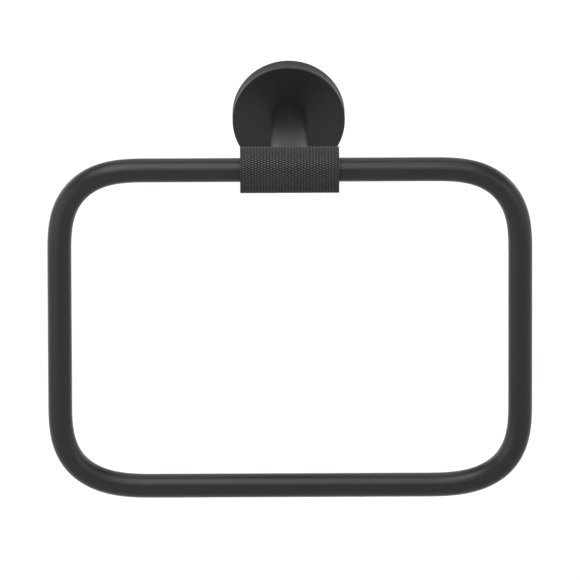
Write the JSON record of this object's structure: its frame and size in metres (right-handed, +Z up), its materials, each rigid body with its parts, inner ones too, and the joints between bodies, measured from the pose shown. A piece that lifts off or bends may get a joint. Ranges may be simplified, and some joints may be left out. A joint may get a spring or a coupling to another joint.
{
  "type": "towel ring",
  "caption": "Wall-mounted matte black towel ring: a rounded rectangular loop of round bar that swings in a knurled sleeve on a straight post with a round rosette.",
  "frame": {"origin": "centre of the wall plate's back face, on the wall", "axes": "+X along the sleeve to the viewer's right, +Y into the wall, +Z up"},
  "size_m": [0.201, 0.0801, 0.1674],
  "materials": {
    "black_coat": "matte black coating on metal",
    "black_knurl": "matte black coating over a fine diamond knurl",
    "black_screw": "blackened steel set screw",
    "plain_steel": "plain zinc-plated steel, hidden when mounted",
    "black_nylon": "black nylon"
  },
  "bodies": {
    "bracket": {"wall_plate": "plain_steel", "rosette": "black_coat", "rosette_screw": "black_screw", "post": "black_coat", "tie_bolt": "plain_steel", "tie_washer": "plain_steel", "sleeve": "black_knurl", "bush_left": "black_nylon", "bush_right": "black_nylon", "retaining_screw_left": "black_screw", "retaining_screw_right": "black_screw"},
    "ring": {"ring": "black_coat"}
  },
  "joints": [
    {"name": "ring_swing", "type": "hinge", "parent": "bracket", "child": "ring", "pos_m": [0, -0.0704, 0], "axis": [-1, 0, 0], "range_deg": [-27.5, 207.5]}
  ]
}
